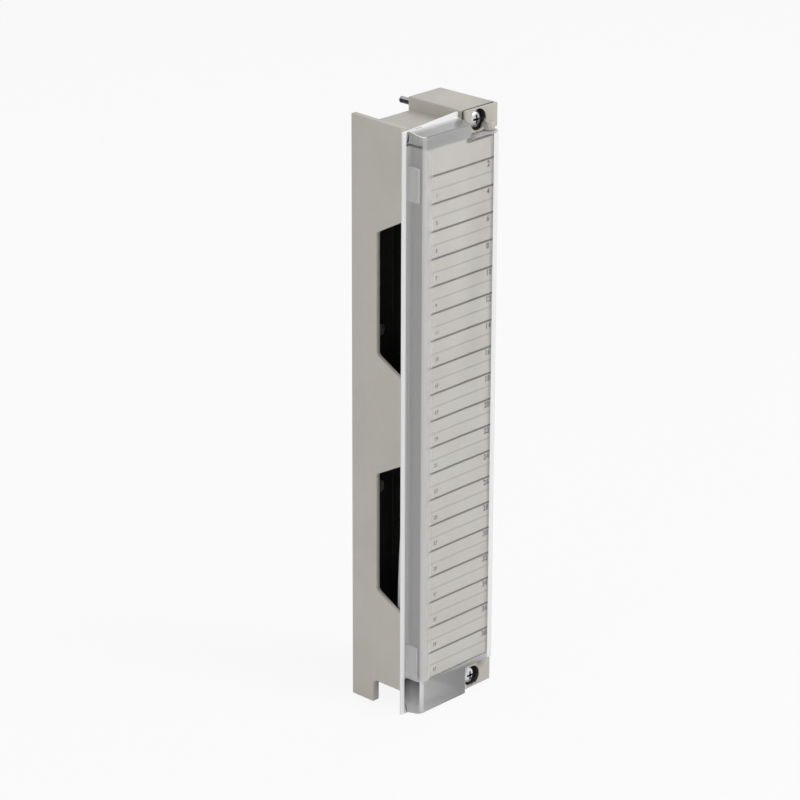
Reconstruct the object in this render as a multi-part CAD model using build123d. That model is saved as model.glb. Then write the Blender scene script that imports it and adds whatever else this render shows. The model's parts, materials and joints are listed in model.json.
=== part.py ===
from build123d import *

import os

# Plug-on terminal block with forty screw terminals under a hinged clear door.
# The seat plane is y = 0 with the front towards -y, and z runs up the block.
# The origin lies midway between the axes of the two mounting screws.

# Moulded housing
WIDTH = 40.0
HEIGHT = 197.4
SIDE_WALL = 1.7
END_WALL = 2.8
WALL_DEPTH = 21.1
WALL_FRONT_STEP = 0.55
FOOT_STEP = 0.65
FOOT_DEPTH = 9.4
FOOT_HEIGHT = 7.75
FOOT_CORNER = 1.5
RIGHT_WALL_DEPTH = 21.9
EDGE_ROUNDING = 0.5

# End blocks, the webs beside them and the caps on their fronts
BLOCK_WIDTH = 14.7
BLOCK_DEPTH = 24.2
TOP_BLOCK_HEIGHT = 7.7
BOTTOM_BLOCK_HEIGHT = 10.2
WEB_RECESS = 4.5
TOP_WEB_DEPTH = 20.8
BOTTOM_WEB = 1.7
BOTTOM_WEB_DEPTH = 8.0
CAP = 1.4
CAP_GROOVE = 0.5
CAP_GROOVE_DEPTH = 0.8
CAP_PEG_RADIUS = 0.8
CAP_PEG_LENGTH = 3.2
CAP_PEG_INSET = 1.4
POCKET_DEPTH = 15.0
POCKET_WALL = 1.6

# Side windows, wider at the front edge than at the back
WINDOW_HEIGHT = 40.1
WINDOW_DEPTH = 10.3
WINDOW_FLARE = 5.5
WINDOW_SPACING = 80.4
WINDOW_MIDDLE = 2.45
WINDOW_UPPER_CORNER = 1.0
WINDOW_LOWER_CORNER = 1.8

# Captive mounting screws
SCREW_END_INSET = 3.85
SCREW_INSET = 8.7
SCREW_RADIUS = 1.5
SCREW_BORE = 1.8
SCREW_REACH = 8.6
SCREW_TIP_RADIUS = 1.1
SCREW_TIP_LENGTH = 4.5
NECK_RADIUS = 1.1
NECK_LENGTH = 6.0
HEAD_RADIUS = 2.75
HEAD_HEIGHT = 1.3
HEAD_BEVEL = 0.9
HEAD_SUNK = 1.7
COUNTERBORE_RADIUS = 3.5
CROSS_SLOT = 0.9
CROSS_SPAN = 3.4
CROSS_DEPTH = 0.9
RETAINER_RADIUS = 2.6
RETAINER = 1.2
RETAINER_SINK = 3.0

# Terminal core, rows and columns
ROW_PITCH = 8.89
BARRIER = 1.4
CORE_WIDTH = 24.2
TIER_WIDTH = 12.0
TIER_WALL = 1.2
TIER_STEP = 4.5
CORE_DEPTH = 20.0
FLANGE = 2.5
FLANGE_BACK = 2.0
PAD_WIDTH = 9.0
PAD_HEIGHT = 8.0
FIT_GAP = 0.1
END_GAP = 0.2

# Socket carrier behind the core
CARRIER_FRONT = 8.0
CARRIER_BACK = 0.8
CARRIER_LEDGE = 1.5
CORE_SIDE = 1.7
SOCKET_WIDTH = 2.8
SOCKET_HEIGHT = 5.0
SOCKET_WALL = 0.8

# One terminal
PLATE = 1.0
PLATE_WIDTH = 7.5
PLATE_HEIGHT = 6.4
PLATE_OFFSET = 0.45
BLADE = 0.8
BLADE_HEIGHT = 3.0
BLADE_GAP = 0.2
BLADE_END = 3.2
CLAMP = 1.0
CLAMP_SIZE = 6.0
TERMINAL_SCREW_RADIUS = 1.4
TERMINAL_HEAD_RADIUS = 2.6
TERMINAL_HEAD_HEIGHT = 1.8
SPRING = 0.4
SPRING_HEIGHT = 4.0
SPRING_LENGTH = 5.0

# Screws that hold the core in the housing
FIXING_RADIUS = 1.2
FIXING_HEAD_RADIUS = 2.2
FIXING_HEAD_HEIGHT = 1.4
FIXING_LENGTH = 4.2
FIXING_INSET = 5.0
FIXING_END_INSET = 10.0
FIXINGS = 4
RUNNING_GAP = 0.05

# How far a cutter runs past the face it opens, and what counts as the same place
OVERCUT = 1.0
SAME_PLACE = 0.01

# Sides of the repeated small round features, which stay plain
HEAD_SIDES = 8
SHANK_SIDES = 6

# Clear door
DOOR_WALL = 1.2
DOOR_SIDE = 2.7
DOOR_DRAFT = 1.2
DOOR_TOP_STEP = 1.75
DOOR_BOTTOM_STEP = 0.05
DOOR_NOTCH_GAP = 1.0
DOOR_LEFT_CORNER = 2.0
DOOR_HINGE_CORNER = 3.0
DOOR_HINGE_INSET = 1.35
DOOR_HINGE_FLANK = 1.5
RIM = 0.8
RIM_GAP = 0.1
RIM_RISE = 1.5
PAD_RAISE = 0.9
PAD_LENGTH = 11.0
PAD_END_INSET_TOP = 11.0
PAD_END_INSET_BOTTOM = 13.6
PAD_MARGIN = 1.1
LIP = 0.8
LIP_INSET = 2.4
LIP_DEPTH = 3.3
LIP_HALF_SPAN = 53.0
LIP_DROP = 28.0
LIP_LENGTH_BELOW = 20.0

# Hinge between the door and the end caps
HINGE_AHEAD = 0.5
HINGE_PIN_RADIUS = 1.0
HINGE_PIN_LENGTH = 2.0
HINGE_PIN_GAP = 0.1
EAR_CLOSURE = 0.7
EAR_RADIUS = 1.8
KNUCKLE_RADIUS = 1.2
KNUCKLE_LENGTH = 3.0

# Folded label card and the rail that holds it
CARD = 0.4
CARD_GAP = 0.1
CARD_SIDE_GAP = 0.3
CARD_RIGHT_INSET = 4.3
CARD_FOLD = 0.9
CARD_TOP_INSET = 5.55
CARD_BOTTOM_INSET = 12.4
CARD_FLAP_INSET = 1.4
CARD_FLAP_DEPTH = 4.2
RAIL = 0.6
RAIL_HOOK = 0.9
RAIL_INSET_TOP = 16.0
RAIL_INSET_BOTTOM = 8.0

# Planes worked out from the sizes above
RIGHT = SCREW_INSET
LEFT = RIGHT - WIDTH
TOP = HEIGHT / 2
SCREW_Z = TOP - SCREW_END_INSET
BLOCK_LEFT = RIGHT - BLOCK_WIDTH
BLOCK_FRONT = CAP - BLOCK_DEPTH
BAY_TOP = TOP - TOP_BLOCK_HEIGHT
BAY_BOTTOM = BOTTOM_BLOCK_HEIGHT - TOP
BAY_LEFT = LEFT + SIDE_WALL
BAY_RIGHT = RIGHT - SIDE_WALL
HEAD_SEAT = HEAD_SUNK + HEAD_HEIGHT - BLOCK_DEPTH
CORE_TOP = BAY_TOP - END_GAP
CORE_BOTTOM = BAY_BOTTOM + END_GAP
CORE_RIGHT = BAY_RIGHT - FIT_GAP
CORE_LEFT = CORE_RIGHT - CORE_WIDTH
TIER_SPLIT = CORE_LEFT + TIER_WIDTH
ROWS = int((CORE_TOP - CORE_BOTTOM) // ROW_PITCH)
ROW_MIDDLE = (CORE_TOP + CORE_BOTTOM) / 2
LEFT_TIER_FRONT = TIER_STEP - CORE_DEPTH
CARRIER_LEFT = CORE_LEFT + CORE_SIDE
LEFT_COLUMN = (CORE_LEFT + TIER_SPLIT - TIER_WALL) / 2
RIGHT_COLUMN = (TIER_SPLIT + CORE_RIGHT - TIER_WALL) / 2
LEFT_FLOOR = LEFT_TIER_FRONT + TIER_STEP
RIGHT_FLOOR = LEFT_TIER_FRONT
DOOR_LEFT = LEFT + DOOR_SIDE
DOOR_RIGHT = RIGHT - DOOR_HINGE_INSET
DOOR_NOTCH = BLOCK_LEFT - DOOR_NOTCH_GAP
HINGE_X = DOOR_RIGHT - DOOR_HINGE_CORNER
HINGE_Y = -BLOCK_DEPTH - HINGE_AHEAD
DOOR_FRONT = HINGE_Y - DOOR_HINGE_CORNER
DOOR_BACK = -WALL_DEPTH - RIM_GAP
DOOR_DEPTH = DOOR_BACK - DOOR_FRONT
DOOR_TOP = TOP - DOOR_TOP_STEP
DOOR_BOTTOM = DOOR_BOTTOM_STEP - TOP
HINGE_TOP = BAY_TOP - END_GAP
HINGE_BOTTOM = BAY_BOTTOM + END_GAP
CARD_FRONT = DOOR_FRONT + DOOR_WALL + CARD_GAP
CARD_LEFT = DOOR_LEFT + DOOR_WALL + CARD_SIDE_GAP
CARD_RIGHT = RIGHT - CARD_RIGHT_INSET
CARD_TOP = DOOR_TOP - CARD_TOP_INSET
CARD_BOTTOM = DOOR_BOTTOM + CARD_BOTTOM_INSET


def box_between(x, y, z):
    """A box from three (low, high) pairs."""
    size = [high - low for low, high in (x, y, z)]
    middle = [(low + high) / 2 for low, high in (x, y, z)]
    return Pos(*middle) * Box(*size)


def rod_y(radius, x, z, y):
    """A round bar along y over the (low, high) pair y."""
    low, high = y
    return Pos(x, (low + high) / 2, z) * Rot(90, 0, 0) * Cylinder(radius, high - low)


def prism_y(radius, x, z, y, sides):
    """A many-sided bar along y over the (low, high) pair y."""
    low, high = y
    bar = extrude(RegularPolygon(radius, sides), amount=(high - low) / 2, both=True)
    return Pos(x, (low + high) / 2, z) * Rot(90, 0, 0) * bar


def rod_z(radius, x, y, z):
    """A round bar along z over the (low, high) pair z."""
    low, high = z
    return Pos(x, y, (low + high) / 2) * Cylinder(radius, high - low)


def side_plate(outline, x):
    """A closed (y, z) outline extruded along x over the (low, high) pair x."""
    low, high = x
    face = make_face(Polyline([(low, y, z) for y, z in outline], close=True))
    return extrude(face, amount=high - low, dir=(1, 0, 0))


def front_plate(outline, y):
    """A closed (x, z) outline extruded along y over the (low, high) pair y."""
    low, high = y
    face = make_face(Polyline([(x, low, z) for x, z in outline], close=True))
    return extrude(face, amount=high - low, dir=(0, 1, 0))


def edges_along(shape, axis, **where):
    """Straight edges parallel to an axis whose centre has the given x, y or z."""
    found = []
    for edge in shape.edges().filter_by(axis):
        centre = edge.center()
        here = {"x": centre.X, "y": centre.Y, "z": centre.Z}
        if all(abs(here[name] - value) < SAME_PLACE for name, value in where.items()):
            found.append(edge)
    return found


def row_heights():
    """Middle heights of the terminal rows, from the top down."""
    first = ROW_MIDDLE + ROW_PITCH * (ROWS - 1) / 2
    return [first - ROW_PITCH * row for row in range(ROWS)]


def window_cut(middle):
    """Cutter for one side window, open at the wall's front edge."""
    back = WINDOW_DEPTH - WALL_DEPTH
    half = WINDOW_HEIGHT / 2
    reach = WINDOW_DEPTH + OVERCUT
    flare = WINDOW_FLARE * reach / WINDOW_DEPTH
    front = back - reach
    outline = [
        (back, middle + half),
        (back, middle - half),
        (front, middle - half - flare),
        (front, middle + half + flare),
    ]
    cutter = side_plate(outline, (LEFT - OVERCUT, LEFT + 2 * END_WALL))
    cutter = fillet(edges_along(cutter, Axis.X, y=back, z=middle + half), WINDOW_UPPER_CORNER)
    return fillet(edges_along(cutter, Axis.X, y=back, z=middle - half), WINDOW_LOWER_CORNER)


def left_wall():
    """Side wall with its foot at the back and thicker ends."""
    front_top = TOP - WALL_FRONT_STEP
    foot = FOOT_STEP - TOP
    notch = foot + FOOT_HEIGHT
    outline = [
        (0, TOP),
        (-WALL_DEPTH, front_top),
        (-WALL_DEPTH, notch),
        (-FOOT_DEPTH, notch),
        (-FOOT_DEPTH, foot),
        (0, foot),
    ]
    wall = side_plate(outline, (LEFT, BAY_LEFT))
    wall += box_between((BAY_LEFT, LEFT + END_WALL), (-WALL_DEPTH, 0), (BAY_TOP, front_top))
    wall += box_between((BAY_LEFT, LEFT + END_WALL), (-FOOT_DEPTH, 0), (foot, BAY_BOTTOM))
    wall = fillet(edges_along(wall, Axis.X, y=-FOOT_DEPTH, z=notch), FOOT_CORNER)
    wall = fillet(edges_along(wall, Axis.Z, x=LEFT, y=-FOOT_DEPTH), EDGE_ROUNDING)
    for window in (WINDOW_MIDDLE + WINDOW_SPACING / 2, WINDOW_MIDDLE - WINDOW_SPACING / 2):
        wall -= window_cut(window)
    return wall


def end_block(low, high):
    """Solid end of the housing between two heights, cored out from behind."""
    block = box_between((BLOCK_LEFT, RIGHT), (BLOCK_FRONT, 0), (low, high))
    outer = [edge for x in (BLOCK_LEFT, RIGHT) for edge in edges_along(block, Axis.Z, x=x, y=0)]
    block = fillet(outer, EDGE_ROUNDING)
    pocket_x = (SCREW_BORE + 2 * POCKET_WALL, RIGHT - POCKET_WALL)
    block -= box_between(pocket_x, (-POCKET_DEPTH, OVERCUT), (low + POCKET_WALL, high - POCKET_WALL))
    return block


def screw_hole(z):
    """Stepped cutter for a mounting screw, its head and its retaining ring."""
    hole = rod_y(SCREW_BORE, 0, z, (-BLOCK_DEPTH, OVERCUT))
    hole += rod_y(COUNTERBORE_RADIUS, 0, z, (-BLOCK_DEPTH - OVERCUT, HEAD_SEAT))
    hole += rod_y(RETAINER_RADIUS + RUNNING_GAP, 0, z, (-RETAINER_SINK - RETAINER, OVERCUT))
    return hole


def cap_pegs(z, radius):
    """The two round pegs that locate an end cap."""
    y = (BLOCK_FRONT, BLOCK_FRONT + CAP_PEG_LENGTH)
    left = prism_y(radius, BLOCK_LEFT + CAP_PEG_INSET, z, y, SHANK_SIDES)
    return left + prism_y(radius, RIGHT - CAP_PEG_INSET, z, y, SHANK_SIDES)


def fixing_places():
    """Centres (x, z) of the screws that hold the core, evenly spaced from the top down."""
    top = CORE_TOP - FIXING_END_INSET
    step = (top - CORE_BOTTOM - FIXING_END_INSET) / (FIXINGS - 1)
    return [(BAY_LEFT + FIXING_INSET, top - step * place) for place in range(FIXINGS)]


def housing():
    """Outer moulding: walls, end blocks, webs and the pads behind the core."""
    shell = left_wall()
    shell += box_between((BAY_RIGHT, RIGHT), (-RIGHT_WALL_DEPTH, 0), (BAY_BOTTOM, BAY_TOP))
    shell += end_block(BAY_TOP, TOP) + end_block(-TOP, BAY_BOTTOM)
    shell += box_between((BAY_LEFT, BLOCK_LEFT), (-TOP_WEB_DEPTH, 0), (BAY_TOP, TOP - WEB_RECESS))
    bottom_web = (BAY_BOTTOM - BOTTOM_WEB, BAY_BOTTOM)
    shell += box_between((BAY_LEFT, BLOCK_LEFT), (-BOTTOM_WEB_DEPTH, 0), bottom_web)
    shell += box_between((BAY_RIGHT - CARRIER_LEDGE, BAY_RIGHT), (-CARRIER_BACK, 0), (BAY_BOTTOM, BAY_TOP))
    for x, z in fixing_places():
        pad_z = (z - PAD_HEIGHT / 2, z + PAD_HEIGHT / 2)
        shell += box_between((BAY_LEFT, BAY_LEFT + PAD_WIDTH), (-FLANGE_BACK, 0), pad_z)
        shell -= prism_y(FIXING_RADIUS + RUNNING_GAP, x, z, (-FLANGE_BACK - OVERCUT, OVERCUT), SHANK_SIDES)
    for z in (SCREW_Z, -SCREW_Z):
        shell -= screw_hole(z)
        shell -= cap_pegs(z, CAP_PEG_RADIUS + RUNNING_GAP)
    return shell


def end_cap(low, high, screw_z, ear_z):
    """Front plate of an end block, with the screw recess and a hinge ear."""
    groove = BLOCK_FRONT - CAP_GROOVE
    plate = box_between((BLOCK_LEFT, RIGHT), (-BLOCK_DEPTH, groove), (low, high))
    inner_x = (BLOCK_LEFT + CAP_GROOVE_DEPTH, RIGHT - CAP_GROOVE_DEPTH)
    inner_z = (low + CAP_GROOVE_DEPTH, high - CAP_GROOVE_DEPTH)
    plate += box_between(inner_x, (groove, BLOCK_FRONT), inner_z)
    plate += rod_z(EAR_RADIUS, HINGE_X, HINGE_Y, ear_z)
    ear_x = (HINGE_X - EAR_RADIUS, HINGE_X + EAR_RADIUS)
    plate += box_between(ear_x, (HINGE_Y, -BLOCK_DEPTH + CAP / 2), ear_z)
    plate += cap_pegs(screw_z, CAP_PEG_RADIUS)
    return plate - rod_y(COUNTERBORE_RADIUS, 0, screw_z, (-BLOCK_DEPTH - OVERCUT, BLOCK_FRONT + OVERCUT))


def pin_bore(hinge_end, way):
    """Cutter for the blind bore of a hinge pin that runs the given way, 1 up or -1 down."""
    reach = HINGE_PIN_LENGTH + HINGE_PIN_GAP
    span = sorted((hinge_end - way * OVERCUT, hinge_end + way * reach))
    return rod_z(HINGE_PIN_RADIUS + RUNNING_GAP, HINGE_X, HINGE_Y, span)


def cell_cut(left, right, front, floor, z):
    """Cutter for one terminal cell between two barriers."""
    half = (ROW_PITCH - BARRIER) / 2
    return box_between((left, right), (front - OVERCUT, floor), (z - half, z + half))


def blade_x(column):
    """Low and high x of a contact's blade, at the right end of its plate."""
    edge = column + PLATE_OFFSET + PLATE_WIDTH / 2
    return edge - BLADE, edge


def blade_cut(column, floor, z):
    """Cutter for the slot that a contact's blade passes through."""
    low, high = blade_x(column)
    half = BLADE_HEIGHT / 2 + BLADE_GAP
    y = (floor - OVERCUT, OVERCUT - CARRIER_FRONT)
    return box_between((low - BLADE_GAP, high + BLADE_GAP), y, (z - half, z + half))


def terminal_core():
    """Black two-tier barrier moulding with a flange under the wire channel."""
    z = (CORE_BOTTOM, CORE_TOP)
    flange_front = -FLANGE_BACK - FLANGE
    core = box_between((CORE_LEFT, TIER_SPLIT), (LEFT_TIER_FRONT, -CARRIER_FRONT), z)
    core += box_between((TIER_SPLIT, CORE_RIGHT), (-CORE_DEPTH, -CARRIER_FRONT), z)
    core += box_between((CORE_LEFT, CORE_LEFT + CORE_SIDE), (-CARRIER_FRONT, -FLANGE_BACK), z)
    core += box_between((BAY_LEFT + FIT_GAP, CORE_LEFT), (flange_front, -FLANGE_BACK), z)
    cuts = []
    left_cell = (CORE_LEFT - OVERCUT, TIER_SPLIT - TIER_WALL, LEFT_TIER_FRONT, LEFT_FLOOR)
    right_cell = (TIER_SPLIT - OVERCUT, CORE_RIGHT - TIER_WALL, -CORE_DEPTH, RIGHT_FLOOR)
    for height in row_heights():
        cuts.append(cell_cut(*left_cell, height))
        cuts.append(cell_cut(*right_cell, height))
        cuts.append(blade_cut(LEFT_COLUMN, LEFT_FLOOR, height))
        cuts.append(blade_cut(RIGHT_COLUMN, RIGHT_FLOOR, height))
    for x, height in fixing_places():
        hole = (flange_front - OVERCUT, OVERCUT - FLANGE_BACK)
        cuts.append(prism_y(FIXING_RADIUS + 3 * RUNNING_GAP, x, height, hole, SHANK_SIDES))
    return core - cuts


def socket_x(column):
    """Low and high x of a socket, centred on the blade that enters it."""
    low, high = blade_x(column)
    middle = (low + high) / 2
    return middle - SOCKET_WIDTH / 2, middle + SOCKET_WIDTH / 2


def socket_carrier():
    """Rear insulator with one through socket for each contact."""
    carrier = box_between(
        (CARRIER_LEFT + FIT_GAP, CORE_RIGHT), (-CARRIER_FRONT, -CARRIER_BACK), (CORE_BOTTOM, CORE_TOP)
    )
    cuts = []
    for height in row_heights():
        z = (height - SOCKET_HEIGHT / 2, height + SOCKET_HEIGHT / 2)
        for column in (LEFT_COLUMN, RIGHT_COLUMN):
            cuts.append(box_between(socket_x(column), (-CARRIER_FRONT - OVERCUT, 0), z))
    return carrier - cuts


def contact_plate(column, floor, z):
    """Threaded terminal plate with the blade that runs back to its socket."""
    middle = column + PLATE_OFFSET
    x = (middle - PLATE_WIDTH / 2, middle + PLATE_WIDTH / 2)
    plate = box_between(x, (floor - PLATE, floor), (z - PLATE_HEIGHT / 2, z + PLATE_HEIGHT / 2))
    blade_z = (z - BLADE_HEIGHT / 2, z + BLADE_HEIGHT / 2)
    plate += box_between(blade_x(column), (floor - PLATE, -BLADE_END), blade_z)
    hole = (floor - 2 * PLATE, floor + PLATE)
    return plate - prism_y(TERMINAL_SCREW_RADIUS + RUNNING_GAP, column, z, hole, SHANK_SIDES)


def socket_spring(column, z):
    """Fork spring that grips a blade inside its socket."""
    low, high = socket_x(column)
    wide = (low + SOCKET_WALL / 2, high - SOCKET_WALL / 2)
    y = (-CARRIER_FRONT, SPRING_LENGTH - CARRIER_FRONT)
    half = SPRING_HEIGHT / 2
    fork = box_between(wide, y, (z - half, z + half))
    slot = (wide[0] + SPRING, wide[1] - SPRING)
    return fork - box_between(slot, (y[0] - OVERCUT, y[1] + OVERCUT), (z - half + SPRING, z + half + SPRING))


def wire_clamp(column, floor, z):
    """Square pressure plate under a terminal screw's head."""
    back = floor - PLATE
    half = CLAMP_SIZE / 2
    clamp = box_between((column - half, column + half), (back - CLAMP, back), (z - half, z + half))
    hole = (back - 2 * CLAMP, back + CLAMP)
    return clamp - prism_y(TERMINAL_SCREW_RADIUS + RUNNING_GAP, column, z, hole, SHANK_SIDES)


def small_screw(place, seat, end, shank, head):
    """A plain screw along y whose head, a (radius, height) pair, lies in front of its seat plane."""
    x, z = place
    radius, height = head
    screw = prism_y(shank, x, z, (seat, end), SHANK_SIDES)
    return screw + prism_y(radius, x, z, (seat - height, seat), HEAD_SIDES)


def terminal_screw(column, floor, z):
    """Clamping screw of one terminal, down to the back of its plate."""
    head = (TERMINAL_HEAD_RADIUS, TERMINAL_HEAD_HEIGHT)
    return small_screw((column, z), floor - PLATE - CLAMP, floor, TERMINAL_SCREW_RADIUS, head)


def fixing_screw(place):
    """One of the screws that hold the core to the housing's pads."""
    seat = -FLANGE_BACK - FLANGE
    head = (FIXING_HEAD_RADIUS, FIXING_HEAD_HEIGHT)
    return small_screw(place, seat, seat + FIXING_LENGTH, FIXING_RADIUS, head)


def mounting_screw(z):
    """Captive cross-head screw with a waisted shank and a long dog point."""
    neck_end = -RETAINER_SINK
    neck_start = neck_end - NECK_LENGTH
    head_front = HEAD_SEAT - HEAD_HEIGHT
    screw = rod_y(HEAD_RADIUS, 0, z, (head_front, HEAD_SEAT))
    rim = screw.edges().filter_by(GeomType.CIRCLE).sort_by(Axis.Y)[0]
    screw = chamfer(rim, HEAD_BEVEL)
    for size in ((CROSS_SPAN, CROSS_SLOT), (CROSS_SLOT, CROSS_SPAN)):
        wide, tall = size
        slot_y = (head_front - OVERCUT, head_front + CROSS_DEPTH)
        screw -= box_between((-wide / 2, wide / 2), slot_y, (z - tall / 2, z + tall / 2))
    screw += rod_y(SCREW_RADIUS, 0, z, (HEAD_SEAT, neck_start))
    screw += rod_y(NECK_RADIUS, 0, z, (neck_start, neck_end))
    point_start = SCREW_REACH - SCREW_TIP_LENGTH
    screw += rod_y(SCREW_RADIUS, 0, z, (neck_end, point_start))
    return screw + rod_y(SCREW_TIP_RADIUS, 0, z, (point_start, SCREW_REACH))


def screw_retainer(z):
    """Ring in the back of an end block that keeps a mounting screw captive."""
    y = (-RETAINER_SINK - RETAINER, -RETAINER_SINK)
    ring = rod_y(RETAINER_RADIUS, 0, z, y)
    return ring - rod_y(NECK_RADIUS + RUNNING_GAP, 0, z, (y[0] - OVERCUT, y[1] + OVERCUT))


def tall_form(inset, back):
    """Full-height part of the door, drafted at both ends, as a solid."""
    front = DOOR_FRONT + inset
    slope = DOOR_DRAFT / DOOR_DEPTH
    front_draft = slope * (DOOR_BACK - front)
    back_draft = slope * (DOOR_BACK - back)
    outline = [
        (back, DOOR_TOP - inset - back_draft),
        (front, DOOR_TOP - inset - front_draft),
        (front, DOOR_BOTTOM + inset + front_draft),
        (back, DOOR_BOTTOM + inset + back_draft),
    ]
    form = side_plate(outline, (DOOR_LEFT + inset, DOOR_NOTCH - inset))
    return fillet(edges_along(form, Axis.Z, x=DOOR_LEFT + inset, y=front), DOOR_LEFT_CORNER - inset)


def hinged_form(inset, back):
    """Shorter part of the door, between the hinge ears, as a solid."""
    x = (DOOR_NOTCH - DOOR_HINGE_CORNER, DOOR_RIGHT - inset)
    front = DOOR_FRONT + inset
    form = box_between(x, (front, back), (HINGE_BOTTOM + inset, HINGE_TOP - inset))
    return fillet(edges_along(form, Axis.Z, x=x[1], y=front), DOOR_HINGE_CORNER - inset)


def door_rim():
    """Flange over the housing's front edge, rising along the top."""
    y = (DOOR_BACK - RIM, DOOR_BACK)
    strip = box_between((LEFT, DOOR_LEFT + DOOR_WALL / 2), y, (DOOR_BOTTOM, DOOR_TOP))
    outline = [
        (DOOR_LEFT, DOOR_TOP - DOOR_WALL),
        (DOOR_NOTCH, DOOR_TOP - DOOR_WALL),
        (DOOR_NOTCH, DOOR_TOP + RIM_RISE),
        (DOOR_LEFT, DOOR_TOP),
    ]
    return strip + front_plate(outline, y)


def door_lip():
    """Bowed lip behind the rim that dips into the lower side window."""
    middle = WINDOW_MIDDLE - WINDOW_SPACING / 2 - LIP_DROP
    radius = (LIP_HALF_SPAN**2 + LIP_DEPTH**2) / (2 * LIP_DEPTH)
    x = LEFT + LIP_INSET
    arc_centre = DOOR_BACK + LIP_DEPTH - radius
    disc = Pos(x + LIP / 2, arc_centre, middle) * Rot(0, 90, 0) * Cylinder(radius, LIP)
    z = (middle - LIP_LENGTH_BELOW, middle + LIP_HALF_SPAN)
    keep = box_between((x, x + LIP), (DOOR_BACK - RIM, DOOR_BACK + LIP_DEPTH), z)
    return disc & keep


def finger_pads():
    """Two raised pads on the door's free side."""
    x = (DOOR_LEFT - PAD_RAISE, DOOR_LEFT)
    y = (DOOR_FRONT + PAD_MARGIN, DOOR_BACK - RIM)
    upper = DOOR_TOP - PAD_END_INSET_TOP
    lower = DOOR_BOTTOM + PAD_END_INSET_BOTTOM
    return box_between(x, y, (upper - PAD_LENGTH, upper)) + box_between(x, y, (lower, lower + PAD_LENGTH))


def hinge_pin(low, high, root):
    """Knuckle and pin at one end of the door's hinged side."""
    pin = rod_z(HINGE_PIN_RADIUS, HINGE_X, HINGE_Y, (low, high))
    return pin + rod_z(KNUCKLE_RADIUS, HINGE_X, HINGE_Y, root)


def card_rail():
    """Hooked rib behind the door's face that holds the card's right edge."""
    z = (HINGE_BOTTOM + RAIL_INSET_BOTTOM, HINGE_TOP - RAIL_INSET_TOP)
    web_left = CARD_RIGHT + CARD_GAP
    hook_front = CARD_FRONT + CARD + CARD_GAP
    web = box_between((web_left, web_left + RAIL), (DOOR_FRONT + DOOR_WALL / 2, hook_front + RAIL), z)
    return web + box_between((web_left - RAIL_HOOK, web_left + RAIL), (hook_front, hook_front + RAIL), z)


def door():
    """Clear cover: a thin shell with rim, lip, pads, card rail and hinge pins."""
    flank_back = HINGE_Y + DOOR_HINGE_FLANK
    outer = tall_form(0, DOOR_BACK) + hinged_form(0, flank_back)
    inner = tall_form(DOOR_WALL, DOOR_BACK + OVERCUT) + hinged_form(DOOR_WALL, DOOR_BACK + OVERCUT)
    shell = outer - inner
    shell += door_rim() + door_lip() + finger_pads() + card_rail()
    shell += hinge_pin(HINGE_TOP, HINGE_TOP + HINGE_PIN_LENGTH, (HINGE_TOP - KNUCKLE_LENGTH, HINGE_TOP))
    lower_root = (HINGE_BOTTOM, HINGE_BOTTOM + KNUCKLE_LENGTH)
    shell += hinge_pin(HINGE_BOTTOM - HINGE_PIN_LENGTH, HINGE_BOTTOM, lower_root)
    return shell


def label_card():
    """Printed card behind the door's face, folded back along its left edge."""
    x = (CARD_LEFT, CARD_RIGHT)
    back = CARD_FRONT + CARD
    step_x = DOOR_NOTCH - DOOR_WALL - CARD_SIDE_GAP
    low = CARD_BOTTOM
    high = HINGE_TOP - DOOR_WALL - CARD_GAP
    outline = [(x[0], low), (x[1], low), (x[1], high), (step_x, high), (step_x, CARD_TOP), (x[0], CARD_TOP)]
    card = front_plate(outline, (CARD_FRONT, back))
    card += box_between((x[0], x[0] + CARD), (CARD_FRONT, CARD_FRONT + CARD_FLAP_DEPTH), (low, CARD_TOP))
    card = fillet(edges_along(card, Axis.Z, x=x[0], y=CARD_FRONT), CARD_FOLD)
    card = fillet(edges_along(card, Axis.Z, x=x[0] + CARD, y=back), CARD_FOLD - CARD)
    trim_y = (CARD_FRONT + CARD_FOLD, CARD_FRONT + CARD_FLAP_DEPTH + OVERCUT)
    trim_x = (x[0] - OVERCUT, x[0] + CARD + OVERCUT)
    return card - box_between(trim_x, trim_y, (low - OVERCUT, low + CARD_FLAP_INSET))


def per_row(make, *place):
    """One group of solids, made for every row."""
    return Compound([make(*place, z) for z in row_heights()])


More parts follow.
